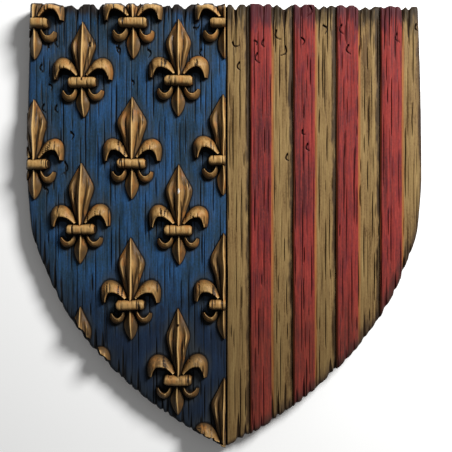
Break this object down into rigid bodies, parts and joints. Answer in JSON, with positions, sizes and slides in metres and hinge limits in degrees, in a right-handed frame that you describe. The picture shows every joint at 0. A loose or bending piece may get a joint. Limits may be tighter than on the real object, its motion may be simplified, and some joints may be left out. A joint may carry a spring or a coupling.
{
  "type": "heater shield",
  "caption": "Flat carved and painted wooden heater shield: gilt lilies in relief on a blue field, beside gold and raised red pales; it lies on its flat back.",
  "frame": {"origin": "middle of the flat back, under the centre of the bounding box", "axes": "+Z out of the carved front, +Y towards the straight top edge, +X towards the pales; the shield lies on its back"},
  "size_m": [0.402, 0.4499, 0.0295],
  "materials": {
    "painted_wood": "worn satin paint with a dark wash in the grain"
  },
  "bodies": {
    "root": {"shield": "painted_wood"}
  },
  "joints": []
}
